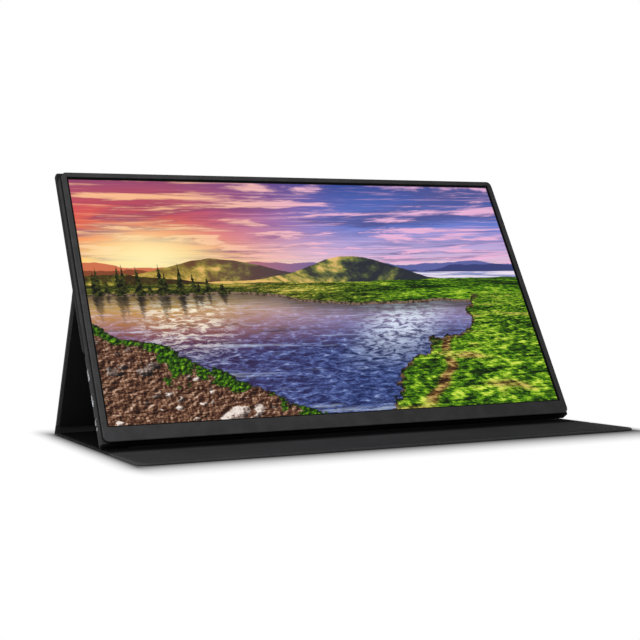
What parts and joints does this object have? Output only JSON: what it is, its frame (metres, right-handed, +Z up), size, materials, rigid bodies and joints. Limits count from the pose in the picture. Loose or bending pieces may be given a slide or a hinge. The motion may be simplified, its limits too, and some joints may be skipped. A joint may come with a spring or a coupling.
{
  "type": "portable monitor with cover",
  "caption": "Flat portable monitor leaning on a magnetic folding cover that makes its stand; the cover's fold, front flap and the side keys move.",
  "frame": {"origin": "on the table, under the middle of the part's bounding box", "axes": "+X across the screen to the viewer's right, +Y away from the viewer, +Z up"},
  "size_m": [0.3587, 0.22, 0.1895],
  "materials": {
    "cover_leather": "matt black fine-grained artificial leather",
    "cover_lining": "black brushed microfibre",
    "stiff_board": "grey-brown stiffening board",
    "grip_rubber": "matt black rubber",
    "magnet_metal": "nickel-plated magnet",
    "bezel_plastic": "matt dark grey fine-textured plastic",
    "seam_rubber": "black soft frame between the bezel and the shell",
    "shell_plastic": "matt dark grey plastic",
    "screen_glass": "lit screen under an anti-glare film",
    "optical_film": "white translucent film",
    "light_guide": "clear acrylic",
    "led_strip": "white light strip",
    "sheet_steel": "zinc-plated sheet steel",
    "circuit_board": "green solder mask",
    "flex_cable": "amber flexible circuit",
    "port_steel": "plated steel receptacle",
    "light_pipe": "frosted clear plastic",
    "speaker_case": "black speaker box",
    "screw_steel": "blackened steel",
    "key_plastic": "satin dark grey plastic"
  },
  "bodies": {
    "floor": {"floor_skin": "cover_leather", "floor_board": "stiff_board", "spine_board": "stiff_board", "floor_lining": "cover_lining", "grip_strip_front": "grip_rubber", "grip_strip_rear": "grip_rubber"},
    "flap": {"flap_skin": "cover_leather", "flap_board": "stiff_board", "flap_lining": "cover_lining", "flap_magnets": "magnet_metal"},
    "stand": {"stand_skin": "cover_leather", "stand_board": "stiff_board", "stand_lining": "cover_lining"},
    "plate": {"plate_wrap": "cover_leather", "plate_core": "stiff_board", "plate_magnets": "magnet_metal", "back_skin": "cover_leather"},
    "power": {"power_button": "key_plastic"},
    "rocker": {"menu_rocker": "key_plastic"},
    "key": {"side_key": "key_plastic"},
    "monitor": {"front_bezel": "bezel_plastic", "seam_gasket": "seam_rubber", "rear_shell": "shell_plastic", "lcd_cell": "screen_glass", "optical_films": "optical_film", "light_guide_plate": "light_guide", "reflector_sheet": "optical_film", "led_bar": "led_strip", "panel_chassis": "sheet_steel", "driver_board": "circuit_board", "main_board": "circuit_board", "display_cable": "flex_cable", "usb_c_port_upper": "port_steel", "usb_c_port_lower": "port_steel", "mini_hdmi_port": "port_steel", "audio_jack": "port_steel", "status_led": "light_pipe", "speaker_left": "speaker_case", "speaker_right": "speaker_case", "button_board": "circuit_board", "shell_steel_strips": "sheet_steel", "shell_screws": "screw_steel"}
  },
  "joints": [
    {"name": "stand_fold", "type": "hinge", "parent": "floor", "child": "stand", "pos_m": [0, 0.109, 0.001], "axis": [1, 0, 0], "range_deg": [-123.08, 0]},
    {"name": "back_fold", "type": "hinge", "parent": "stand", "child": "plate", "pos_m": [0, 0.04078, 0.10574], "axis": [1, 0, 0], "range_deg": [0, 63.1]},
    {"name": "monitor_release", "type": "slide", "parent": "plate", "child": "monitor", "axis": [0, -0.866, 0.5], "range_m": [0, 0.012]},
    {"name": "flap_fold", "type": "hinge", "parent": "floor", "child": "flap", "pos_m": [0, -0.058, 0.001], "axis": [-1, 0, 0], "range_deg": [0, 95]},
    {"name": "power_press", "type": "slide", "parent": "monitor", "child": "power", "axis": [-1, 0, 0], "range_m": [0, 0.0004], "stiffness_N_per_m": 1500},
    {"name": "rocker_tilt", "type": "hinge", "parent": "monitor", "child": "rocker", "pos_m": [0.1772, -0.00605, 0.03463], "axis": [0, 0.866, -0.5], "range_deg": [-4, 4], "stiffness_Nm_per_rad": 0.08},
    {"name": "key_press", "type": "slide", "parent": "monitor", "child": "key", "axis": [1, 0, 0], "range_m": [0, 0.0004], "stiffness_N_per_m": 1500}
  ],
  "couplings": [
    {"joint": "back_fold", "follows": "stand_fold", "ratio": -0.51251}
  ]
}
